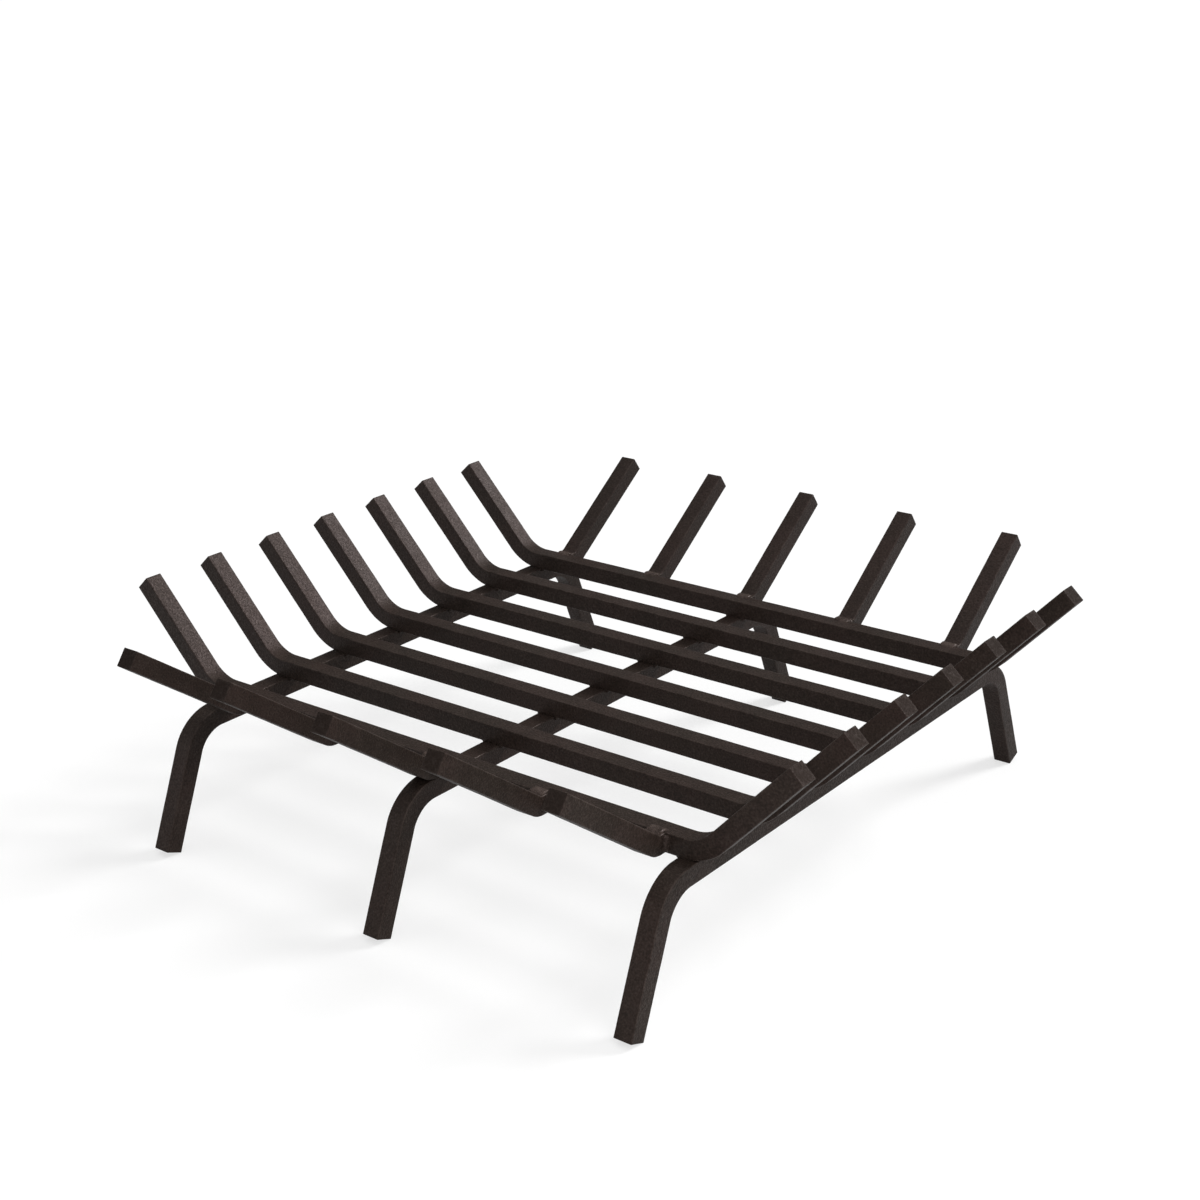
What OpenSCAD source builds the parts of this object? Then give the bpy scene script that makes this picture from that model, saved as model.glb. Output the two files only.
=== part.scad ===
// Welded steel log grate: seven long bars bent up at both ends lie across three leg bars,
// and short bent prongs are butted against the outer faces of the first and last bar.
// +X runs along the long bars, +Y from the front of the grate to its back, +Z is up.
// The origin is on the hearth, under the middle of the grate.

/* [Bar stock] */
// Side of the square bar that every piece is cut from
bar = 16; // [12:1:20]
// Radius of the rolled edges of the bar
edge_r = 0.75; // [0.5:0.25:3]

/* [Log bed] */
// Height of the top of the long bars above the hearth
bed_h = 130; // [110:1:180]
// Distance between the middles of two neighbouring long bars
pitch = 70; // [60:1:90]
// Distance from the middle leg bar to an outer one
leg_spacing = 243; // [237:1:300]

/* [Bent ends of the long bars] */
// Distance from an outer leg bar to the corner that the long bar turns at
end_overhang = 13; // [12:1:40]
// Angle at which the ends rise
end_turn = 47; // [30:1:65]
// Height of the tips of the ends above the bed
end_rise = 79; // [55:1:120]
// Bend radius of the ends, at the middle of the bar
end_bend_r = 38; // [20:1:45]

/* [Legs] */
// Distance from the outer face of the log bed to the corner that a leg turns at
leg_overhang = 30; // [28:1:60]
// Angle between a leg and the hearth
leg_turn = 68; // [55:0.5:80]
// Bend radius of the legs, at the middle of the bar
leg_bend_r = 34; // [25:1:45]

/* [Prongs] */
// Number of prongs on each side
prongs = 5; // [3:2:5]
// Distance between the middles of two neighbouring prongs
prong_spacing = 108; // [60:1:110]
// Distance from the long bar's face to the corner that a prong turns at
prong_overhang = 9; // [8:1:30]
// Angle at which a prong rises
prong_turn = 36; // [25:1:60]
// Height of the tips of the prongs above the bed
prong_rise = 74; // [50:1:120]
// Bend radius of the prongs, at the middle of the bar
prong_bend_r = 12; // [11:1:16]

/* [Welds] */
// Width of a weld bead on each of the two faces that it joins
bead = 3.5; // [3:0.5:6]
// Height of the bead over the top seam of a prong
seam_bead_h = 2.2; // [1:0.1:3]

/* [Hidden] */
$fn = 48;
LONG_BARS = 7;
LEG_SIDES = ["left", "middle", "right"];

half = bar / 2;
bar_black = [0.19, 0.165, 0.145];
weld_black = [0.24, 0.21, 0.19];

// Heights of the middles of the bars
long_z = bed_h - half;
leg_z = long_z - bar;

// Outer faces of the first and last long bar
bed_face = pitch * (LONG_BARS - 1) / 2 + half;

// Corners of the middle lines, where the straight stretches would meet
end_apex = leg_spacing + end_overhang;
leg_apex = bed_face + leg_overhang;

// Lengths from those corners to the cut ends
end_reach = reach(end_rise + half, end_turn);
leg_reach = (leg_z - half * cos(leg_turn)) / sin(leg_turn);
prong_reach = reach(prong_rise + half, prong_turn);

// A bend is thinner than the bar by this much on every side, so that no two faces of the bar nearly touch
bend_inset = 0.05;
// The straight stretches reach this far into a bend
run_in = 0.3;

// A bead stops short of the rolled edges
bead_run = bar - 2 * edge_r;
// The bead's root reaches this far under a rolled edge
bead_root = edge_r / 2;
// Half the width of the bead over a prong's top seam
seam_half = 4.5;

// Length of a straight stretch whose upper corner ends the given height above its middle line's start
function reach(rise, turn) = (rise - half * cos(turn)) / sin(turn);

// Middle of a long bar, counted from the front
function long_y(i) = (i - (LONG_BARS + 1) / 2) * pitch;

// Middle of a prong, counted from the left
function prong_x(i) = (i - (prongs + 1) / 2) * prong_spacing;

// Middle of a leg bar
function leg_x(side) = (search([side], LEG_SIDES)[0] - 1) * leg_spacing;

// Section of the bar: a square with rolled edges, drawn smaller by the inset on every side
module bar_section(inset = 0) {
    across = bar - 2 * inset;
    flat = bar - 2 * edge_r;
    square([across, flat], center = true);
    square([flat, across], center = true);
    for (x = [-1, 1], y = [-1, 1])
        translate([x, y] * flat / 2)
            circle(r = edge_r - inset);
}

// Straight bar along +X
module straight(from, to) {
    translate([from, 0, 0])
        rotate([90, 0, 90])
            linear_extrude(to - from)
                bar_section();
}

// What follows a straight bar along +X: a bend up at the corner, then a straight stretch
module bent_end(apex, turn, length, bend_r) {
    setback = bend_r * tan(turn / 2);
    translate([apex - setback, 0, bend_r])
        rotate([90, 0, 0])
            rotate([0, 0, -90])
                rotate_extrude(angle = turn)
                    translate([bend_r, 0])
                        bar_section(bend_inset);
    translate([apex, 0, 0])
        rotate([0, -turn, 0])
            straight(setback - run_in, length);
}

// Bar along X with both ends bent up alike
module bent_bar(apex, turn, length, bend_r) {
    setback = bend_r * tan(turn / 2);
    straight(setback - apex - run_in, apex - setback + run_in);
    for (side = [0, 1])
        mirror([side, 0, 0])
            bent_end(apex, turn, length, bend_r);
}

module long_bar(i) {
    color(bar_black)
        translate([0, long_y(i), long_z])
            bent_bar(end_apex, end_turn, end_reach, end_bend_r);
}

// Leg bar: the same kind of bar turned over, so that its ends are two legs
module leg_bar(side) {
    color(bar_black)
        translate([leg_x(side), 0, leg_z])
            rotate([180, 0, 90])
                bent_bar(leg_apex, leg_turn, leg_reach, leg_bend_r);
}

// Puts what is drawn for the back of the grate on the side asked for
module on_side(back) {
    mirror([0, back ? 0 : 1, 0])
        children();
}

// Short bar butted against the outer face of the log bed, flush with it, then bent up and out
module prong(i, back) {
    setback = prong_bend_r * tan(prong_turn / 2);
    color(bar_black)
        on_side(back)
            translate([prong_x(i), bed_face, long_z])
                rotate([0, 0, 90]) {
                    straight(0, prong_overhang - setback + run_in);
                    bent_end(prong_overhang, prong_turn, prong_reach, prong_bend_r);
                }
}

// Section of a fillet weld in a corner at the origin, between the lines u = 0 and v = 0
module fillet_section(root) {
    intersection() {
        translate([-root, 0])
            square([root + bead, bead]);
        translate([-bead, -bead])
            circle(r = bead * sqrt(5));
    }
}

// Fillet weld under a long bar, against the side of the leg bar and under its rolled edge
module leg_bead() {
    rotate([-90, 0, 0])
        translate([0, 0, -bead_run / 2])
            linear_extrude(bead_run)
                difference() {
                    fillet_section(bead_root);
                    translate([-half, half])
                        bar_section();
                }
}

// Fillet welds at the crossings of one leg bar, on both of its sides.
// Past an outer leg bar the long bars start to rise, so it has them only towards the middle of the grate.
module leg_welds(side) {
    color(weld_black)
        for (i = [1 : LONG_BARS], flank = [-1, 1])
            if (flank * leg_x(side) <= 0)
                translate([leg_x(side), long_y(i), leg_z + half])
                    mirror([flank < 0 ? 1 : 0, 0, 0])
                        translate([half, 0, 0])
                            leg_bead();
}

// Bead over the seam between a long bar and a prong: a low cap that fills the rolled edge's groove
module seam_bead() {
    cap_r = (seam_half * seam_half + seam_bead_h * seam_bead_h) / (2 * seam_bead_h);
    rotate([90, 0, 90])
        translate([0, 0, -bead_run / 2])
            linear_extrude(bead_run)
                difference() {
                    translate([0, seam_bead_h - cap_r])
                        circle(r = cap_r);
                    translate([-cap_r, -bead_root - 2 * cap_r])
                        square([2 * cap_r, 2 * cap_r]);
                    translate([-half, -half])
                        bar_section();
                    translate([0, -bar])
                        square([bar, bar]);
                }
}

// Welds of one row of prongs: an upright fillet on each flank, and a bead over the top seam
module prong_welds(back) {
    color(weld_black)
        on_side(back)
            for (i = [1 : prongs])
                translate([prong_x(i), bed_face, long_z]) {
                    for (flank = [0, 1])
                        mirror([flank, 0, 0])
                            translate([half, 0, -bead_run / 2])
                                linear_extrude(bead_run)
                                    fillet_section(0);
                    translate([0, 0, half])
                        seam_bead();
                }
}

for (i = [1 : LONG_BARS])
    long_bar(i);
for (side = LEG_SIDES) {
    leg_bar(side);
    leg_welds(side);
}
for (i = [1 : prongs]) {
    prong(i, false);
    prong(i, true);
}
prong_welds(false);  // front_prong_welds
prong_welds(true);  // back_prong_welds
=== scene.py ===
"""Looks of a welded log grate: seven bent square bars across three leg bars, with prongs front and back.

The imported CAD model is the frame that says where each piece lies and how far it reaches. Each bar is
drawn in its CAD place as a rolled bar with dressed ends, and each weld as a rippled bead, both by
Geometry Nodes. Lengths are in metres, X runs along the long bars, Y to the back and Z up.
"""

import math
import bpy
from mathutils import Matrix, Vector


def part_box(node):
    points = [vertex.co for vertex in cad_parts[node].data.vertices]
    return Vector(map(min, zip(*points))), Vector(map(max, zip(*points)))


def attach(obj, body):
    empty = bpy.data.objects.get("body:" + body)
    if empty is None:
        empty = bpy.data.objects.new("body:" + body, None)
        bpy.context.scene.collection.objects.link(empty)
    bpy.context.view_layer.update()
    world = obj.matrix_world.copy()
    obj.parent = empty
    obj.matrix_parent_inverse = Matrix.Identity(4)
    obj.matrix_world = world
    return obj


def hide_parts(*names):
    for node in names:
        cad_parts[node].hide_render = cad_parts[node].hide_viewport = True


bl_info = {
    "name": "Log Grate",
    "version": (1, 0, 0),
    "blender": (4, 5, 0),
    "location": "3D View > Sidebar > Grate",
    "description": "Builds a welded log grate around its packed CAD model",
    "category": "Add Mesh",
}

import bpy
from mathutils import Matrix, Quaternion, Vector

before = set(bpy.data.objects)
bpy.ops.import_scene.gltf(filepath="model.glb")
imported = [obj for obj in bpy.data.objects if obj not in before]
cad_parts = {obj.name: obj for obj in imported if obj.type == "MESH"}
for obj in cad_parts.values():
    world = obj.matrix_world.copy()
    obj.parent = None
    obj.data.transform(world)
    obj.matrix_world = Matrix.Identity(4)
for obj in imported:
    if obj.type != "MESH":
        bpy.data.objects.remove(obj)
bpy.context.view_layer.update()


def bars_named(start):
    """The CAD nodes of the bars whose names start so, in order"""
    return sorted(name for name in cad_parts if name.startswith(start) and "welds" not in name)


def centre(node):
    """Middle of a CAD node's box"""
    low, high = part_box(node)
    return (low + high) / 2


LONG_BARS = bars_named("long_bar_")
LEG_BARS = bars_named("leg_bar_")
FRONT_PRONGS = bars_named("front_prong_")
BACK_PRONGS = bars_named("back_prong_")

# What the frame says about the bar stock and where it lies
FIRST_LOW, FIRST_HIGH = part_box(LONG_BARS[0])
BAR = FIRST_HIGH.y - FIRST_LOW.y
HALF = BAR / 2
BED_TOP = FIRST_LOW.z + BAR
LONG_AXIS = BED_TOP - HALF
LEG_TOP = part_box(LEG_BARS[0])[1].z
LEG_AXIS = LEG_TOP - HALF
BED_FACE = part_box(LONG_BARS[-1])[1].y

MM = 0.001

# Attributes that the trees leave on the meshes, for the paint to follow
EDGE_WEAR_AND_HIGHLIGHT_MARK = "rolled_edge"
CUT_MARK = "cut_face"
CREST_MARK = "ripple_crest"


# ---------------------------------------------------------------- settings


def length(name, description, default):
    """A setting in metres"""
    return bpy.props.FloatProperty(
        name=name, description=description, default=default, min=0, precision=5, unit="LENGTH"
    )


def angle(name, description, degrees):
    """A setting that is an angle, with its default in degrees"""
    return bpy.props.FloatProperty(
        name=name, description=description, default=math.radians(degrees), subtype="ANGLE"
    )


def share(name, description, default):
    """A setting from 0 to 1"""
    return bpy.props.FloatProperty(
        name=name, description=description, default=default, min=0, max=1, subtype="FACTOR"
    )


def colour(name, description, default):
    """A setting that is a colour"""
    return bpy.props.FloatVectorProperty(
        name=name, description=description, default=default, size=3, min=0, max=1, subtype="COLOR"
    )


class GrateBarSettings(bpy.types.PropertyGroup):
    """Sizes of the square bars that the frame's boxes don't give"""

    edge_radius: length("Edge radius", "Radius of the rolled edges of the bar", 0.75 * MM)
    end_turn: angle("End angle", "Angle at which the ends of the long bars rise", 47)
    end_bend: length("End bend", "Bend radius of those ends, at the middle of the bar", 38 * MM)
    leg_turn: angle("Leg angle", "Angle between a leg and the hearth", 68)
    leg_bend: length("Leg bend", "Bend radius of the legs, at the middle of the bar", 34 * MM)
    prong_turn: angle("Prong angle", "Angle at which the prongs rise", 36)
    prong_bend: length("Prong bend", "Bend radius of the prongs, at the middle of the bar", 12 * MM)
    cut_radius: length("Cut edge", "Radius of the dressed edges of the sawn ends", 0.4 * MM)
    upset: share("Upset", "How much a bend spreads the bar on its inner side", 0.03)
    waviness: length("Waviness", "How far the rolled faces wander from flat", 0.12 * MM)
    pitting: length("Pitting", "Depth of the mill scale's small dents", 0.06 * MM)
    mesh_step: length("Mesh step", "Length of a mesh face along a straight stretch", 2.5 * MM)
    bend_step: length("Bend step", "Length of a mesh face along a bend", 1.5 * MM)


class GrateWeldSettings(bpy.types.PropertyGroup):
    """Shape of the weld beads"""

    fillet_size: length("Fillet size", "Width of a fillet on each face that it joins", 3.5 * MM)
    fillet_run: length("Fillet length", "Length of a fillet", 14.5 * MM)
    seam_run: length("Seam bead length", "Length of the bead over a prong's top seam", 14.5 * MM)
    seam_width: length("Seam width", "Width of the bead over a prong's top seam", 10.5 * MM)
    seam_height: length("Seam height", "Height of the bead over a prong's top seam", 1.8 * MM)
    ripple_pitch: length("Ripple pitch", "Distance from one ripple to the next", 1.3 * MM)
    ripple_height: length("Ripple height", "Depth of the groove between two ripples", 0.22 * MM)
    unevenness: length("Unevenness", "How far a bead's surface wanders", 0.35 * MM)
    taper: length("Taper", "Length over which a bead dies away at each end", 2 * MM)
    # How much the crests of the beads take the lighter colour of thin paint and painted highlight
    fillet_wear_and_highlight: share("Fillet wear", "How much the crests of the fillets are rubbed", 0.5)
    seam_wear_and_highlight: share("Seam wear", "How much the crests of the seam beads are rubbed", 1.0)


class GratePaintSettings(bpy.types.PropertyGroup):
    """Colours and gloss of the paint"""

    base: colour("Paint", "Colour of the paint", (0.0218, 0.0158, 0.0122))
    umber: colour("Umber", "Colour of the warm patches", (0.0292, 0.0185, 0.0152))
    dark: colour("Dark grains", "Colour between the grains of the paint", (0.0142, 0.0102, 0.0078))
    light: colour("Light grains", "Colour on top of the grains of the paint", (0.040, 0.0295, 0.0245))
    # Lighter colour of the rolled edges: thin paint there, and a painted highlight
    rubbed_and_highlit: colour("Rubbed and highlit", "Colour of the edges, where the paint is thin", (0.058, 0.044, 0.038))
    # Lighter colour of the weld beads' crests: thin paint there, and a painted highlight
    crest: colour("Crests", "Colour of the weld beads' crests", (0.1, 0.074, 0.064))
    roughness: share("Roughness", "Roughness of the paint on the bars", 0.46)
    weld_roughness: share("Weld roughness", "Roughness of the paint on the welds", 0.41)
    sheen: share("Sheen", "Strength of the paint's reflections, 0.5 for plain paint", 0.2)
    sheen_tint: colour("Sheen tint", "Colour of those reflections", (1.0, 0.79, 0.76))


class GrateStageSettings(bpy.types.PropertyGroup):
    """Camera and floor"""

    aim: bpy.props.FloatVectorProperty(
        name="Aim",
        description="Point on the log bed's plane that the camera looks at",
        default=(-0.1044, 0.1316, 0.13),
        size=3,
        precision=4,
        subtype="XYZ",
        unit="LENGTH",
    )
    azimuth: angle("Azimuth", "Angle of the camera to the right of the front", 38.0)
    elevation: angle("Elevation", "Angle of the camera above the hearth", 20.365)
    roll: angle("Roll", "How far the picture leans to the right", 1.018)
    distance: length("Distance", "Distance from the aim to the camera", 1.832)
    lens: bpy.props.FloatProperty(
        name="Lens",
        description="Focal length on a sensor 36 mm wide",
        default=58.405,
        min=10,
        unit="CAMERA",
    )
    floor: colour("Floor", "Colour of the floor", (0.35, 0.35, 0.35))


SETTINGS = {
    "grate_bars": GrateBarSettings,
    "grate_welds": GrateWeldSettings,
    "grate_paint": GratePaintSettings,
    "grate_stage": GrateStageSettings,
}


# ---------------------------------------------------------------- node trees


class Field:
    """Output of a node. Arithmetic on it adds Math nodes to its tree."""

    def __init__(self, tree, socket):
        self.tree = tree
        self.socket = socket

    def math(self, operation, *others):
        return add(self.tree, "ShaderNodeMath", self, *others, operation=operation)

    def __add__(self, other):
        return self.math("ADD", other)

    def __sub__(self, other):
        return self.math("SUBTRACT", other)

    def __mul__(self, other):
        return self.math("MULTIPLY", other)

    def __truediv__(self, other):
        return self.math("DIVIDE", other)

    __radd__ = __add__
    __rmul__ = __mul__

    def __rsub__(self, other):
        return (self * -1) + other

    def __pow__(self, other):
        return self.math("POWER", other)

    def __abs__(self):
        return self.math("ABSOLUTE")

    def at_least(self, other):
        return self.math("MAXIMUM", other)

    def at_most(self, other):
        return self.math("MINIMUM", other)

    def ramp(self, low, high, start=0.0, end=1.0):
        """Goes from start to end while this goes from low to high, and stays there"""
        return add(self.tree, "ShaderNodeMapRange", self, low, high, start, end, clamp=True)

    def scaled(self, factor):
        """This vector, times a number"""
        return add(self.tree, "ShaderNodeVectorMath", self, Scale=factor, operation="SCALE")

    def plus(self, other):
        """This vector, plus another"""
        return add(self.tree, "ShaderNodeVectorMath", self, other, operation="ADD")

    def parts(self):
        """The three numbers of this vector"""
        node = add(self.tree, "ShaderNodeSeparateXYZ", self).socket.node
        return [Field(self.tree, socket) for socket in node.outputs]


def feed(tree, socket, value):
    """Sets an input to a value, or wires a field into it"""
    if isinstance(value, Field):
        tree.links.new(value.socket, socket)
    else:
        socket.default_value = value


def add(tree, kind, *values, out=None, **named):
    """Adds a node and gives its first output, or the one named. A name with a capital is an input's,
    as in Blender, and any other is one of the node's settings."""
    node = tree.nodes.new(kind)
    for name, value in named.items():
        if name[0].islower():
            setattr(node, name, value)
    inputs = [socket for socket in node.inputs if socket.enabled]
    outputs = [socket for socket in node.outputs if socket.enabled and out in (None, socket.name)]
    for socket, value in zip(inputs, values):
        feed(tree, socket, value)
    for name, value in named.items():
        if name[0].isupper():
            feed(tree, next(socket for socket in inputs if socket.name == name), value)
    return Field(tree, outputs[0] if outputs else None)


def vector(x, y, z):
    """A vector field of three numbers, at least one of them a field"""
    tree = next(part.tree for part in (x, y, z) if isinstance(part, Field))
    return add(tree, "ShaderNodeCombineXYZ", x, y, z)


def new_tree(name, inputs, outputs):
    """A geometry tree with named inputs and outputs. Gives the tree and its inputs as fields."""
    tree = bpy.data.node_groups.new(name, "GeometryNodeTree")
    for socket_name, kind in inputs:
        tree.interface.new_socket(socket_name, in_out="INPUT", socket_type="NodeSocket" + kind)
    for socket_name, kind in outputs:
        tree.interface.new_socket(socket_name, in_out="OUTPUT", socket_type="NodeSocket" + kind)
    source = tree.nodes.new("NodeGroupInput")
    given = {socket_name: Field(tree, source.outputs[socket_name]) for socket_name, _ in inputs}
    return tree, given


def close_tree(tree, *results):
    """Wires the results to the tree's outputs"""
    sink = tree.nodes.new("NodeGroupOutput")
    for socket, result in zip(sink.inputs, results):
        feed(tree, socket, result)


def use_tree(tree, group, *values):
    """Uses one tree inside another, and gives its outputs"""
    node = tree.nodes.new("GeometryNodeGroup")
    node.node_tree = group
    for socket, value in zip(node.inputs, values):
        feed(tree, socket, value)
    return [Field(tree, socket) for socket in node.outputs if socket.name]


def mark(mesh, name, value, domain="POINT"):
    """Stores a number on the mesh under a name"""
    return add(
        mesh.tree,
        "GeometryNodeStoreNamedAttribute",
        data_type="FLOAT",
        domain=domain,
        Geometry=mesh,
        Name=name,
        Value=value,
    )


def marked(tree, name, kind="FLOAT"):
    """A field that was stored under a name"""
    return add(tree, "GeometryNodeInputNamedAttribute", data_type=kind, Name=name)


def noise(tree, place, scale, detail=2.0, roughness=0.5):
    """Noise from -0.5 to 0.5, with features of about 1 / scale metres"""
    texture = add(
        tree, "ShaderNodeTexNoise", Vector=place, Scale=scale, Detail=detail, Roughness=roughness
    )
    return texture - 0.5


def finished(mesh, material):
    """Ends a tree: smooth faces, nothing left as an instance, and the material"""
    tree = mesh.tree
    smooth = add(tree, "GeometryNodeSetShadeSmooth", Geometry=mesh)
    plain = add(tree, "GeometryNodeRealizeInstances", Geometry=smooth)
    return add(tree, "GeometryNodeSetMaterial", Geometry=plain, Material=material)


def line_with_bend():
    """Tree: where a point is that has gone some distance along a straight line that ends in a bend"""
    tree, given = new_tree(
        "Line with a bend",
        [("Distance", "Float"), ("Before", "Float"), ("Radius", "Float"), ("Turn", "Float")],
        [("Along", "Float"), ("Aside", "Float"), ("Heading", "Float")],
    )
    distance, before, radius, turn = given.values()
    past_start = distance - before
    heading = (past_start / radius).at_least(0).at_most(turn)
    past_bend = (past_start - radius * turn).at_least(0)
    along = distance.at_most(before) + radius * heading.math("SINE") + past_bend * heading.math("COSINE")
    aside = radius * (1 - heading.math("COSINE")) + past_bend * heading.math("SINE")
    close_tree(tree, along, aside, heading)
    return tree


# Mesh faces around a bar, rings over the dressed edge of a sawn end, and rings over its face
AROUND = 48
CUT_RINGS = 4
CAP_RINGS = 3
# A quarter of the section runs from the middle of one face to the middle of the next. These are the
# shares of its mesh faces at which its rolled edge starts and ends, and the share that one face takes.
EDGE_START, EDGE_END = 0.25, 0.75
MESH_SHARE = 4 / AROUND
# Mark of thin paint and painted highlight where a rolled edge meets the flat faces. It is 1 at the middle
# of the edge.
SHOULDER_WEAR_AND_HIGHLIGHT = 0.5
# Share of the way from the middle of a sawn face to its rim at which the lighter edge of thin paint and
# painted highlight starts
CUT_WEAR_AND_HIGHLIGHT_START = 0.9
# Noise scales of the rolled faces' long waves and of the mill scale's dents. The noise seldom gets near
# its limits, so gains bring the waves and the dents to about their full height.
WAVE_SCALE = 28
WAVE_GAIN = 2
DENT_SCALE = 260
DENT_GAIN = 4
# How far the noise moves along Y for each metre along X from one seed to the next
SEED_SLANT = 0.37


def bent_bar_tree():
    """Tree: a square bar along X that is bent up at one end or at both, with sawn and dressed ends"""
    tree, given = new_tree(
        "Bent square bar",
        [
            ("Bar", "Float"),
            ("Edge Radius", "Float"),
            ("Before Bend", "Float"),
            ("Bend Radius", "Float"),
            ("Turn", "Float"),
            ("After Bend", "Float"),
            ("Both Ends", "Bool"),
            ("Cut Radius", "Float"),
            ("Upset", "Float"),
            ("Waviness", "Float"),
            ("Pitting", "Float"),
            ("Mesh Step", "Float"),
            ("Bend Step", "Float"),
            ("Seed", "Float"),
            ("Material", "Material"),
        ],
        [("Mesh", "Geometry")],
    )
    bend = line_with_bend()
    half = given["Bar"] / 2
    edge, cut, turn = given["Edge Radius"], given["Cut Radius"], given["Turn"]
    before, after = given["Before Bend"], given["After Bend"] - cut
    bend_length = given["Bend Radius"] * turn

    # Counts of mesh rings along each stretch
    rings_before = (before / given["Mesh Step"]).math("CEIL")
    rings_in_bend = (bend_length / given["Bend Step"]).math("CEIL")
    rings_after = (after / given["Mesh Step"]).math("CEIL")
    bend_from, bend_to = rings_before, rings_before + rings_in_bend
    cut_from = bend_to + rings_after
    end = cut_from + CUT_RINGS
    rings = end * (given["Both Ends"] + 1)

    # A cylinder one unit per ring long, whose points are then moved to their places on the bar
    rod = add(
        tree,
        "GeometryNodeMeshCylinder",
        fill_type="NGON",
        Vertices=AROUND,
        **{"Side Segments": rings, "Fill Segments": CAP_RINGS, "Radius": 1.0, "Depth": rings},
    )
    across, upward, lengthwise = add(tree, "GeometryNodeInputPosition").parts()

    # How many rings from the middle, or from the butted end of a bar with one bend
    one_end = 1 - given["Both Ends"]
    counted = abs(lengthwise) * given["Both Ends"] + (lengthwise + rings / 2) * one_end
    side = lengthwise.math("SIGN") * given["Both Ends"] + one_end
    dressing = counted.ramp(cut_from, end) * (math.pi / 2)
    distance = (
        counted.ramp(0, bend_from, 0, before)
        + counted.ramp(bend_from, bend_to, 0, bend_length)
        + counted.ramp(bend_to, cut_from, 0, after)
        + cut * dressing.math("SINE")
    )
    along, lift, heading = use_tree(tree, bend, distance, before, given["Bend Radius"], turn)

    # Round the section: quarter turns, and the place within one
    quarters = upward.math("ARCTAN2", across) * (2 / math.pi)
    quarter = quarters.math("FLOOR")
    within = quarters - quarter
    flat = half - edge
    walked = (
        within.ramp(0, EDGE_START, 0, flat)
        + within.ramp(EDGE_START, EDGE_END, 0, edge * (math.pi / 2))
        + within.ramp(EDGE_END, 1, 0, flat)
    )
    over, inward, corner = use_tree(tree, bend, walked, flat, edge, math.pi / 2)
    radial = (across * across + upward * upward).math("SQRT").at_most(1)
    shrink = (1 - cut * (1 - dressing.math("COSINE")) / half) * radial
    out, over = (half - inward) * shrink, over * shrink
    turned = quarter * (math.pi / 2)
    section_y = out * turned.math("COSINE") - over * turned.math("SINE")
    section_z = out * turned.math("SINE") + over * turned.math("COSINE")

    # A cold bend spreads the bar on its inner side and narrows it on the outer one
    in_bend = (heading / turn * math.pi).math("SINE")
    section_y = section_y * (1 + given["Upset"] * in_bend * section_z / half)

    place = vector(
        side * (along - section_z * heading.math("SINE")),
        section_y,
        lift + section_z * heading.math("COSINE"),
    )
    # The lighter edge, for thin paint and a painted highlight, is strongest along a rolled edge, and fades
    # out on the faces beside it.
    # What rises over the edge itself is a parabola, whose peak of a quarter is brought to the rest of a
    # full 1.
    corner_share = corner / (math.pi / 2)
    ridge = corner_share * (1 - corner_share) * (4 * (1 - SHOULDER_WEAR_AND_HIGHLIGHT))
    beside = within.ramp(EDGE_START - MESH_SHARE, EDGE_START, 0, SHOULDER_WEAR_AND_HIGHLIGHT)
    beyond = within.ramp(EDGE_END, EDGE_END + MESH_SHARE, 0, SHOULDER_WEAR_AND_HIGHLIGHT)
    cut_edge = counted.ramp(cut_from, end) * radial.ramp(CUT_WEAR_AND_HIGHLIGHT_START, 1)
    rod = mark(rod, EDGE_WEAR_AND_HIGHLIGHT_MARK, (ridge + beside - beyond).at_least(cut_edge))
    rod = mark(rod, CUT_MARK, counted.ramp(end - 1, end))
    bar = add(tree, "GeometryNodeSetPosition", Geometry=rod, Position=place)

    # Rolling leaves long shallow waves and the mill scale's small dents
    shift = vector(given["Seed"], given["Seed"] * SEED_SLANT, 0.0)
    where = add(tree, "GeometryNodeInputPosition").plus(shift)
    wave = noise(tree, where, WAVE_SCALE, detail=1.0) * given["Waviness"] * WAVE_GAIN
    dents = noise(tree, where, DENT_SCALE, detail=1.0).at_most(0) * given["Pitting"] * DENT_GAIN
    normal = add(tree, "GeometryNodeInputNormal")
    bar = add(tree, "GeometryNodeSetPosition", Geometry=bar, Offset=normal.scaled(wave + dents))
    close_tree(tree, finished(bar, given["Material"]))
    return tree


# Attribute that holds the stance of the bead at a point
STANCE = "stance"
# Mesh faces around a bead and along it
BEAD_AROUND = 30
BEAD_RINGS = 72
# Half of the turn around a bead's mesh that shows. The rest closes the bead inside the steel.
BEAD_SHOWN = 0.8 * math.pi
# Limits of a bead's random length, breadth and height, as shares of the sizes asked for
BEAD_LEAST = (0.93, 0.9, 0.9)
BEAD_MOST = (1.05, 1.06, 1.04)
# The ripples' random start has another seed than the bead's size
PHASE_SEED = 7
# How far a ripple trails at the toes of the bead, in ripples
RIPPLE_BOW = 0.8
# Power that broadens the crests of the ripples and narrows the grooves between them
RIPPLE_POWER = 0.6
# Noise scales of a bead's lumps and of its grit, and gains on the unevenness
LUMP_SCALE = 210
LUMP_GAIN = 2
GRIT_SCALE = 620
GRIT_GAIN = 0.4


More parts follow.
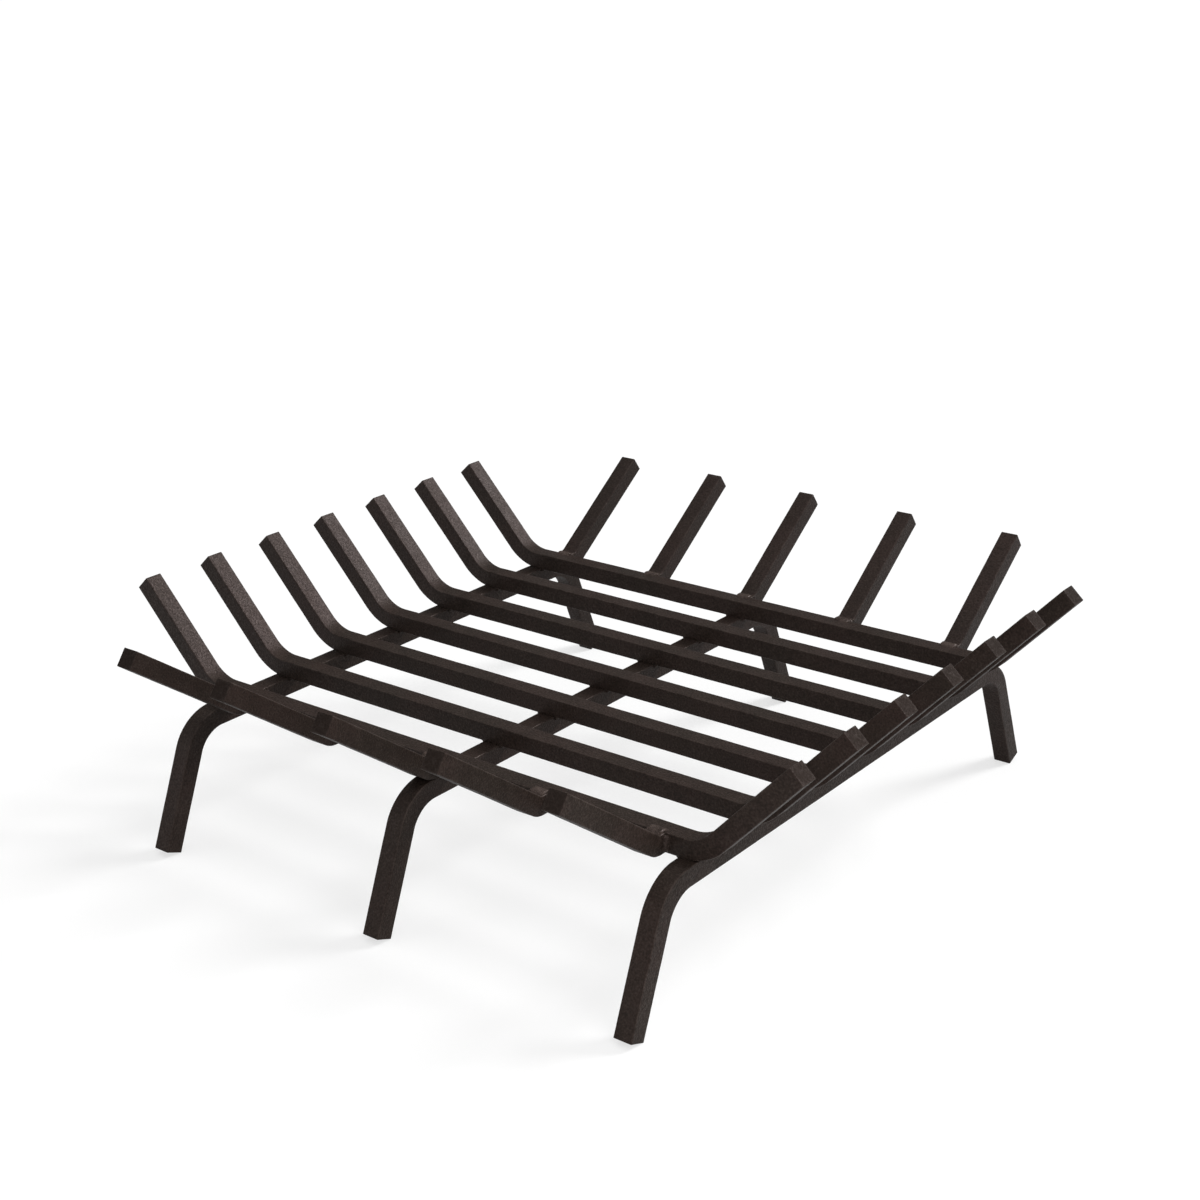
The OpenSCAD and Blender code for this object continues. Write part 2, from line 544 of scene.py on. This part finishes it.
def weld_tree():
    """Tree: a rippled weld bead at each point of a mesh, with its X along the seam and its Z outwards"""
    tree, given = new_tree(
        "Weld beads",
        [
            ("Points", "Geometry"),
            ("Length", "Float"),
            ("Crest", "Float"),
            ("Radius", "Float"),
            ("Arc", "Float"),
            ("Taper", "Float"),
            ("Ripple Pitch", "Float"),
            ("Ripple Height", "Float"),
            ("Unevenness", "Float"),
            ("Wear And Highlight", "Float"),
            ("Seed", "Int"),
            ("Material", "Material"),
        ],
        [("Mesh", "Geometry")],
    )
    radius, crest, taper = given["Radius"], given["Crest"], given["Taper"]
    rod = add(
        tree,
        "GeometryNodeMeshCylinder",
        fill_type="TRIANGLE_FAN",
        Vertices=BEAD_AROUND,
        **{"Side Segments": BEAD_RINGS, "Fill Segments": 1, "Radius": 1.0, "Depth": 1.0},
    )
    across, upward, lengthwise = add(tree, "GeometryNodeInputPosition").parts()
    # The mesh's seam is in the hidden root, opposite the crest
    around = upward.math("ARCTAN2", across)
    swing = (around / BEAD_SHOWN).at_least(-1).at_most(1)
    to_root = 1 - abs(around).ramp(BEAD_SHOWN, math.pi)
    # How far a point is turned away from the crest, as an angle
    lean = swing * given["Arc"]
    along = lengthwise * given["Length"]
    into_taper = (abs(along) - (given["Length"] / 2 - taper)).at_least(0) / taper
    swell = (1 - into_taper * into_taper).at_least(0).math("SQRT")
    radial = (across * across + upward * upward).math("SQRT").at_most(1)
    breadth = radius * lean.math("SINE") * to_root * swell * radial
    height = (radius * lean.math("COSINE") - (radius - crest)) * to_root * swell * radial
    rod = mark(rod, "along", along)
    rod = mark(rod, "swing", swing)
    rod = mark(rod, "swell", swell * to_root)
    bead = add(
        tree,
        "GeometryNodeSetPosition",
        Geometry=rod,
        Position=vector(along, breadth, height),
    )

    beads = add(
        tree,
        "GeometryNodeInstanceOnPoints",
        Points=given["Points"],
        Instance=bead,
        Rotation=marked(tree, STANCE, "QUATERNION"),
        Scale=add(
            tree,
            "FunctionNodeRandomValue",
            data_type="FLOAT_VECTOR",
            Min=BEAD_LEAST,
            Max=BEAD_MOST,
            Seed=given["Seed"],
        ),
    )
    phase = add(
        tree, "FunctionNodeRandomValue", data_type="FLOAT", Seed=given["Seed"] + PHASE_SEED
    )
    beads = mark(beads, "phase", phase, domain="INSTANCE")
    beads = add(tree, "GeometryNodeRealizeInstances", Geometry=beads)

    # Ripples are curved back like the tail of the molten pool
    bow = marked(tree, "swing") ** 2.0
    trailing = bow * given["Ripple Pitch"] * RIPPLE_BOW
    step = (marked(tree, "along") + trailing) / given["Ripple Pitch"]
    ridge = abs(((step + marked(tree, "phase")) * math.pi).math("SINE")) ** RIPPLE_POWER
    # The ripples' crests are marked for the paint's lighter colour of thin paint and painted highlight
    beads = mark(beads, CREST_MARK, ridge * given["Wear And Highlight"])
    where = add(tree, "GeometryNodeInputPosition")
    lumps = noise(tree, where, LUMP_SCALE, detail=1.0) * given["Unevenness"] * LUMP_GAIN
    grit = noise(tree, where, GRIT_SCALE, detail=1.0) * given["Unevenness"] * GRIT_GAIN
    relief = ((ridge - 1) * given["Ripple Height"] + lumps + grit) * marked(tree, "swell")
    normal = add(tree, "GeometryNodeInputNormal")
    beads = add(tree, "GeometryNodeSetPosition", Geometry=beads, Offset=normal.scaled(relief))
    for name in ("along", "swing", "swell", "phase"):
        beads = add(tree, "GeometryNodeRemoveAttribute", Geometry=beads, Name=name)
    close_tree(tree, finished(beads, given["Material"]))
    return tree


def grown(tree, sizes, points=None):
    """Runs a tree with these sizes, on this mesh of points if given, and gives the mesh that it makes"""
    carrier = bpy.data.objects.new("carrier", points or bpy.data.meshes.new("nothing"))
    bpy.context.scene.collection.objects.link(carrier)
    modifier = carrier.modifiers.new(tree.name, "NODES")
    modifier.node_group = tree
    for socket in tree.interface.items_tree:
        if socket.name in sizes:
            modifier[socket.identifier] = sizes[socket.name]
    depsgraph = bpy.context.evaluated_depsgraph_get()
    mesh = bpy.data.meshes.new_from_object(
        carrier.evaluated_get(depsgraph), preserve_all_data_layers=True, depsgraph=depsgraph
    )
    bpy.data.objects.remove(carrier)
    return mesh


# ---------------------------------------------------------------- paint


# Noise scales of the paint: grains of 1.5 mm, blotches of 14 mm and patches of 60 mm
GRAIN_SCALE = 640
BLOTCH_SCALE = 70
PATCH_SCALE = 16
# Noise at which a tone starts to show, and at which it is full
UMBER_SPAN = (-0.12, 0.16)
DARK_SPAN = (0.0, -0.16)
LIGHT_SPAN = (0.03, 0.2)
# The same for the lighter colour of the edges and crests, for thin paint and a painted highlight, whose
# mark the grain and the blotches raise or lower, the blotches this much more
WORN_AND_HIGHLIT_SPAN = (0.45, 1.05)
WORN_AND_HIGHLIT_BY_BLOTCH = 2.5
# How much the blotches gather dark and light grains
GATHERED = 0.3
# Shares of the paint's colour that the lighter colour of an edge or crest, for thin paint and a painted
# highlight, and a sawn end hide
WORN_AND_HIGHLIT_COVER = 0.7
CUT_COVER = 0.7
# What the two noises, the worn edges and the sawn ends add to the roughness, each at a full 1
GRAIN_ROUGHNESS = -0.5
BLOTCH_ROUGHNESS = 0.2
WORN_ROUGHNESS = -0.12
CUT_ROUGHNESS = 0.35
# Relief of the blotches and patches, and of the grain on top of them
COARSE_RELIEF = {"Strength": 0.6, "Distance": 0.4 * MM}
FINE_RELIEF = {"Strength": 1.0, "Distance": 0.5 * MM}


def opaque(rgb):
    return (*rgb, 1.0)


def emptied(owner):
    """The node tree of a material or a world, with nothing in it"""
    owner.use_nodes = True
    owner.node_tree.nodes.clear()
    return owner.node_tree


def mixed(factor, under, over):
    """Colour that goes from one to another as the factor goes from 0 to 1"""
    return add(factor.tree, "ShaderNodeMix", factor, under, over, data_type="RGBA")


def paint_material(name, paint, mark_name, rubbed_and_highlit, roughness):
    """Thin satin paint over rolled steel: speckled, mottled, and lighter where the mark says, for paint
    that is thin there and a painted highlight
    """
    material = bpy.data.materials.new(name)
    tree = emptied(material)
    place = add(tree, "ShaderNodeTexCoord", out="Object")
    grain = noise(tree, place, GRAIN_SCALE, detail=2.0, roughness=0.6)
    blotch = noise(tree, place, BLOTCH_SCALE, detail=3.0, roughness=0.6)
    patch = noise(tree, place, PATCH_SCALE, detail=2.0)
    rub_and_highlight = add(tree, "ShaderNodeAttribute", attribute_name=mark_name, out="Fac")
    cut = add(tree, "ShaderNodeAttribute", attribute_name=CUT_MARK, out="Fac")
    # Mask of the lighter colour on the marked edges and crests: thin paint, and painted highlights
    worn_and_highlit = (rub_and_highlight * (blotch * WORN_AND_HIGHLIT_BY_BLOTCH + grain + 1)).ramp(*WORN_AND_HIGHLIT_SPAN)

    speck = grain + blotch * GATHERED
    tone = mixed(patch.ramp(*UMBER_SPAN), opaque(paint.base), opaque(paint.umber))
    tone = mixed(speck.ramp(*DARK_SPAN), tone, opaque(paint.dark))
    tone = mixed(speck.ramp(*LIGHT_SPAN), tone, opaque(paint.light))
    # Here the lighter colour paints thin paint and highlights on the marked edges and crests
    tone = mixed(worn_and_highlit * WORN_AND_HIGHLIT_COVER, tone, opaque(rubbed_and_highlit))
    tone = mixed(cut * CUT_COVER, tone, opaque(paint.dark))

    roughness = roughness + grain * GRAIN_ROUGHNESS + blotch * BLOTCH_ROUGHNESS
    roughness = roughness + worn_and_highlit * WORN_ROUGHNESS + cut * CUT_ROUGHNESS
    coarse = add(tree, "ShaderNodeBump", Height=blotch + patch, **COARSE_RELIEF)
    fine = add(tree, "ShaderNodeBump", Height=grain, Normal=coarse, **FINE_RELIEF)
    shader = add(
        tree,
        "ShaderNodeBsdfPrincipled",
        **{
            "Base Color": tone,
            "Roughness": roughness,
            "Normal": fine,
            "Specular IOR Level": paint.sheen,
            "Specular Tint": opaque(paint.sheen_tint),
        },
    )
    add(tree, "ShaderNodeOutputMaterial", Surface=shader)
    return material


def finish(slot):
    """The paint of a material slot"""
    paint = bpy.context.scene.grate_paint
    known = {
        "bar": ("Painted bar", EDGE_WEAR_AND_HIGHLIGHT_MARK, paint.rubbed_and_highlit, paint.roughness),
        "weld": ("Painted weld", CREST_MARK, paint.crest, paint.weld_roughness),
    }
    name, mark_name, rubbed_and_highlit, roughness = known[slot]
    made_before = bpy.data.materials.get(name)
    return made_before or paint_material(name, paint, mark_name, rubbed_and_highlit, roughness)


# ---------------------------------------------------------------- pieces


def place_piece(node, mesh, place):
    """Makes a mesh a finished piece in its place, standing for a CAD node"""
    name = "steel_" + node
    mesh.name = name
    mesh.transform(place)
    piece = bpy.data.objects.new(name, mesh)
    bpy.context.scene.collection.objects.link(piece)
    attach(piece, "root")
    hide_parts(node)


def stretches(reach, rise, turn, bend_radius):
    """Lengths of a bar before and after its bend, from how far it reaches and how high it rises"""
    slope = (rise - HALF * math.cos(turn)) / math.sin(turn)
    apex = reach - slope * math.cos(turn) - HALF * math.sin(turn)
    setback = bend_radius * math.tan(turn / 2)
    return {"Before Bend": apex - setback, "After Bend": slope - setback}


def bar_piece(node, place, reach, rise, turn, bend_radius, both_ends, seed):
    """One bent bar in the place of its CAD node"""
    bars = bpy.context.scene.grate_bars
    tree = bpy.data.node_groups.get("Bent square bar") or bent_bar_tree()
    sizes = {
        "Bar": BAR,
        "Edge Radius": bars.edge_radius,
        "Bend Radius": bend_radius,
        "Turn": turn,
        "Both Ends": both_ends,
        "Cut Radius": bars.cut_radius,
        "Upset": bars.upset,
        "Waviness": bars.waviness,
        "Pitting": bars.pitting,
        "Mesh Step": bars.mesh_step,
        "Bend Step": bars.bend_step,
        "Seed": float(seed),
        "Material": finish("bar"),
        **stretches(reach, rise, turn, bend_radius),
    }
    place_piece(node, grown(tree, sizes), place)


class GRATE_OT_long_bars(bpy.types.Operator):
    """Draw the long bars with their bent ends"""

    bl_idname = "grate.long_bars"
    bl_label = "Long Bars"

    def execute(self, context):
        bars = context.scene.grate_bars
        for seed, node in enumerate(LONG_BARS):
            low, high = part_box(node)
            place = Matrix.Translation((0, centre(node).y, LONG_AXIS))
            reach, rise = (high.x - low.x) / 2, high.z - LONG_AXIS
            bar_piece(node, place, reach, rise, bars.end_turn, bars.end_bend, True, seed)
        return {"FINISHED"}


class GRATE_OT_leg_bars(bpy.types.Operator):
    """Draw the leg bars, which are bent down at both ends"""

    bl_idname = "grate.leg_bars"
    bl_label = "Leg Bars"

    def execute(self, context):
        bars = context.scene.grate_bars
        turned_over = Matrix.Rotation(math.pi / 2, 4, "Z") @ Matrix.Rotation(math.pi, 4, "X")
        for seed, node in enumerate(LEG_BARS, start=len(LONG_BARS)):
            low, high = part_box(node)
            place = Matrix.Translation((centre(node).x, 0, LEG_AXIS)) @ turned_over
            reach, rise = (high.y - low.y) / 2, LEG_AXIS - low.z
            bar_piece(node, place, reach, rise, bars.leg_turn, bars.leg_bend, True, seed)
        return {"FINISHED"}


class GRATE_OT_prongs(bpy.types.Operator):
    """Draw the prongs at the front and at the back"""

    bl_idname = "grate.prongs"
    bl_label = "Prongs"

    def execute(self, context):
        bars = context.scene.grate_bars
        first_seed = len(LONG_BARS) + len(LEG_BARS)
        for seed, node in enumerate(FRONT_PRONGS + BACK_PRONGS, start=first_seed):
            low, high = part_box(node)
            side = math.copysign(1, centre(node).y)
            place = Matrix.Translation((centre(node).x, side * BED_FACE, LONG_AXIS))
            place = place @ Matrix.Rotation(side * math.pi / 2, 4, "Z")
            reach, rise = high.y - low.y, high.z - LONG_AXIS
            bar_piece(node, place, reach, rise, bars.prong_turn, bars.prong_bend, False, seed)
        return {"FINISHED"}


def stance(along, outwards):
    """Rotation that turns X along a seam and Z outwards from it"""
    side = outwards.cross(along)
    return Matrix((along, side, outwards)).transposed().to_quaternion()


def bead_points(corners):
    """Mesh of points, each with the stance of its bead. A corner is a place, a direction along its seam
    and one outwards."""
    mesh = bpy.data.meshes.new("bead corners")
    mesh.from_pydata([place for place, _, _ in corners], [], [])
    stances = mesh.attributes.new(STANCE, "QUATERNION", "POINT")
    for item, (_, along, outwards) in zip(stances.data, corners):
        item.value = stance(along.normalized(), outwards.normalized())
    return mesh


# Where a bead ends on its two faces it dips this far into them, as an angle
TOE_DIP = math.radians(5)
# Depth under both faces of the middle of a fillet's round, as a share of its size
FILLET_DEPTH = 0.3
# First seed of the prongs' welds, past those of the leg welds, and what a seam bead adds to it
PRONG_WELD_SEED = 10
SEAM_SEED = 20


def fillet_profile(size):
    """Crest, radius and half the arc of a fillet whose toes are at the given size from the corner"""
    sunk = FILLET_DEPTH * size
    radius = math.hypot(size + sunk, sunk)
    arc = math.pi / 4 - math.atan2(sunk, size + sunk)
    return {"Crest": radius - sunk * math.sqrt(2), "Radius": radius, "Arc": arc + TOE_DIP}


def cap_profile(width, height):
    """Crest, radius and half the arc of a low bead on a flat seam"""
    radius = ((width / 2) ** 2 + height**2) / (2 * height)
    return {"Crest": height, "Radius": radius, "Arc": math.asin(width / 2 / radius) + TOE_DIP}


def beads(corners, profile, bead_length, wear_and_highlight, seed):
    """Mesh of weld beads of one profile, with their crests lightened so much, for thin paint and a painted
    highlight
    """
    welds = bpy.context.scene.grate_welds
    tree = bpy.data.node_groups.get("Weld beads") or weld_tree()
    sizes = {
        "Length": bead_length,
        "Taper": welds.taper,
        "Ripple Pitch": welds.ripple_pitch,
        "Ripple Height": welds.ripple_height,
        "Unevenness": welds.unevenness,
        "Wear And Highlight": wear_and_highlight,
        "Seed": seed,
        "Material": finish("weld"),
        **profile,
    }
    return grown(tree, sizes, bead_points(corners))


def joined(meshes):
    """One mesh of several with the same material"""
    first = bpy.data.objects.new("whole", meshes[0])
    others = [bpy.data.objects.new("more", mesh) for mesh in meshes[1:]]
    for one in (first, *others):
        bpy.context.scene.collection.objects.link(one)
    with bpy.context.temp_override(
        active_object=first, object=first, selected_editable_objects=[first, *others]
    ):
        bpy.ops.object.join()
    mesh = first.data
    bpy.data.objects.remove(first)
    return mesh


class GRATE_OT_leg_welds(bpy.types.Operator):
    """Draw the fillet welds under the long bars, on the sides of the leg bars"""

    bl_idname = "grate.leg_welds"
    bl_label = "Leg Welds"

    def execute(self, context):
        welds = context.scene.grate_welds
        profile = fillet_profile(welds.fillet_size)
        for seed, leg_bar in enumerate(LEG_BARS):
            node = leg_bar.replace("bar", "welds")
            low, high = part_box(node)
            corners = []
            for flank in (-1, 1):
                face = centre(leg_bar).x + flank * HALF
                # The CAD node's box says on which flanks this leg bar is welded
                if low.x - MM < face < high.x + MM:
                    for long_bar in LONG_BARS:
                        place = Vector((face, centre(long_bar).y, LEG_TOP))
                        corners.append((place, Vector((0, 1, 0)), Vector((flank, 0, -1))))
            mesh = beads(corners, profile, welds.fillet_run, welds.fillet_wear_and_highlight, seed)
            place_piece(node, mesh, Matrix())
        return {"FINISHED"}


class GRATE_OT_prong_welds(bpy.types.Operator):
    """Draw the welds that join the prongs to the first and the last long bar"""

    bl_idname = "grate.prong_welds"
    bl_label = "Prong Welds"

    def execute(self, context):
        welds = context.scene.grate_welds
        fillet = fillet_profile(welds.fillet_size)
        cap = cap_profile(welds.seam_width, welds.seam_height)
        rows = {"front_prong_welds": FRONT_PRONGS, "back_prong_welds": BACK_PRONGS}
        for seed, (node, prongs) in enumerate(rows.items(), start=PRONG_WELD_SEED):
            flanks, seams = [], []
            for prong in prongs:
                side = math.copysign(1, centre(prong).y)
                x, y = centre(prong).x, side * BED_FACE
                seams.append((Vector((x, y, BED_TOP)), Vector((side, 0, 0)), Vector((0, 0, 1))))
                for flank in (-1, 1):
                    place = Vector((x + flank * HALF, y, LONG_AXIS))
                    flanks.append((place, Vector((0, 0, 1)), Vector((flank, side, 0))))
            fillets = beads(flanks, fillet, welds.fillet_run, welds.fillet_wear_and_highlight, seed)
            caps = beads(seams, cap, welds.seam_run, welds.seam_wear_and_highlight, seed + SEAM_SEED)
            place_piece(node, joined([fillets, caps]), Matrix())
        return {"FINISHED"}


# ---------------------------------------------------------------- stage


# The floor is a disc whose rim lies far behind the grate in every view
FLOOR_RADIUS = 40
FLOOR_CORNERS = 72
# White that the floor adds to what the camera sees, and to what is mirrored
FLOOR_GLOW = 0.67
FLOOR_MIRRORED = 0.25
# Light that the surroundings give, and the white that they add in the same way
SKY_LIGHT = 0.15
SKY_GLOW = 0.9
SKY_MIRRORED = 0.08
# Distant lamps: from behind on the right, from above, and from the front on the left. At a strength
# of 1, such a lamp shows a matt surface that faces it in its own colour.
SUNS = {
    "key": {"direction": (0.38, 0.68, 0.6), "strength": 0.85, "spread": math.radians(20)},
    "top": {"direction": (0, 0, 1), "strength": 0.34, "spread": math.radians(70)},
    "left": {"direction": (-0.62, -0.74, 0.25), "strength": 0.18, "spread": math.radians(50)},
}
# Lamp near the grate, which pales the faces that are turned to the right and the front
SOFTBOX = {"place": (0.9, -0.6, 0.45), "width": 0.6, "strength": 0.28}


def shown_white(tree, shader, strength, mirrored):
    """Adds plain white to a shader, at one strength for the camera and another in reflections and glass"""
    path = add(tree, "ShaderNodeLightPath").socket.node.outputs
    reflected = Field(tree, path["Is Glossy Ray"]) + Field(tree, path["Is Transmission Ray"])
    seen = Field(tree, path["Is Camera Ray"]) * strength + reflected.at_most(1) * mirrored
    white = add(tree, "ShaderNodeEmission", Strength=seen)
    return add(tree, "ShaderNodeAddShader", shader, white)


def floor_material(tone):
    """Pale matt floor. What it lacks of white is added for the camera, so a shadow still shows on it."""
    material = bpy.data.materials.new("Pale floor")
    tree = emptied(material)
    matt = add(tree, "ShaderNodeBsdfDiffuse", Color=opaque(tone))
    add(tree, "ShaderNodeOutputMaterial", Surface=shown_white(tree, matt, FLOOR_GLOW, FLOOR_MIRRORED))
    return material


def hang(name, lamp, direction):
    """Puts a lamp in the scene, shining from a direction"""
    holder = bpy.data.objects.new(name, lamp)
    holder.rotation_euler = Vector(direction).to_track_quat("Z", "Y").to_euler()
    bpy.context.scene.collection.objects.link(holder)
    return holder


def soft_sun(name, direction, strength, spread):
    """A soft distant lamp that shines from a direction"""
    lamp = bpy.data.lights.new(name, "SUN")
    lamp.energy = strength * math.pi
    lamp.angle = spread
    hang(name, lamp, direction)


def softbox(name, place, width, strength):
    """A round lamp turned to the origin, where it is as strong as a distant lamp of that strength"""
    lamp = bpy.data.lights.new(name, "AREA")
    lamp.shape = "DISK"
    lamp.size = width
    lamp.energy = strength * (math.pi * Vector(place).length) ** 2
    holder = hang(name, lamp, place)
    holder.location = place
    holder.visible_camera = False


class GRATE_OT_stage(bpy.types.Operator):
    """Set up the floor, the lamps and the camera"""

    bl_idname = "grate.stage"
    bl_label = "Stage"

    def execute(self, context):
        scene, stage = context.scene, context.scene.grate_stage
        self.lay_floor(scene, stage)
        self.hang_lamps(scene)
        self.set_camera(scene, stage)
        scene.view_settings.view_transform = "Standard"
        return {"FINISHED"}

    def lay_floor(self, scene, stage):
        turns = [math.tau * corner / FLOOR_CORNERS for corner in range(FLOOR_CORNERS)]
        rim = [FLOOR_RADIUS * Vector((math.cos(turn), math.sin(turn), 0)) for turn in turns]
        mesh = bpy.data.meshes.new("floor")
        mesh.from_pydata(rim, [], [range(len(rim))])
        mesh.materials.append(floor_material(stage.floor))
        floor = bpy.data.objects.new("floor", mesh)
        scene.collection.objects.link(floor)

    def hang_lamps(self, scene):
        world = bpy.data.worlds.new("Plain surroundings")
        tree = emptied(world)
        light = add(tree, "ShaderNodeBackground", Strength=SKY_LIGHT)
        sky = shown_white(tree, light, SKY_GLOW, SKY_MIRRORED)
        add(tree, "ShaderNodeOutputWorld", Surface=sky)
        scene.world = world
        for name, lamp in SUNS.items():
            soft_sun(name, **lamp)
        softbox("softbox", **SOFTBOX)

    def set_camera(self, scene, stage):
        azimuth, elevation = stage.azimuth, stage.elevation
        back = Vector(
            (
                math.sin(azimuth) * math.cos(elevation),
                -math.cos(azimuth) * math.cos(elevation),
                math.sin(elevation),
            )
        )
        turn = back.to_track_quat("Z", "Y") @ Quaternion((0, 0, 1), -stage.roll)
        lens = bpy.data.cameras.new("camera")
        lens.lens = stage.lens
        camera = bpy.data.objects.new("camera", lens)
        camera.matrix_world = (
            Matrix.Translation(Vector(stage.aim) + stage.distance * back)
            @ turn.to_matrix().to_4x4()
        )
        scene.collection.objects.link(camera)
        scene.camera = camera


# ---------------------------------------------------------------- add-on


OPERATORS = (
    GRATE_OT_long_bars,
    GRATE_OT_leg_bars,
    GRATE_OT_prongs,
    GRATE_OT_leg_welds,
    GRATE_OT_prong_welds,
    GRATE_OT_stage,
)


class VIEW3D_PT_grate(bpy.types.Panel):
    """Settings and steps of the grate, in the order in which they run"""

    bl_label = "Log Grate"
    bl_space_type = "VIEW_3D"
    bl_region_type = "UI"
    bl_category = "Grate"

    def draw(self, context):
        layout = self.layout
        layout.use_property_split = True
        for name, group in SETTINGS.items():
            box = layout.box()
            for setting in group.__annotations__:
                box.prop(getattr(context.scene, name), setting)
        for operator in OPERATORS:
            layout.operator(operator.bl_idname)


CLASSES = (*SETTINGS.values(), *OPERATORS, VIEW3D_PT_grate)


def register():
    for one in CLASSES:
        bpy.utils.register_class(one)
    for name, group in SETTINGS.items():
        setattr(bpy.types.Scene, name, bpy.props.PointerProperty(type=group))


def unregister():
    for name in SETTINGS:
        delattr(bpy.types.Scene, name)
    for one in reversed(CLASSES):
        bpy.utils.unregister_class(one)


def main():
    register()
    bpy.ops.grate.long_bars()
    bpy.ops.grate.leg_bars()
    bpy.ops.grate.prongs()
    bpy.ops.grate.leg_welds()
    bpy.ops.grate.prong_welds()
    bpy.ops.grate.stage()


if __name__ == "__main__":
    main()
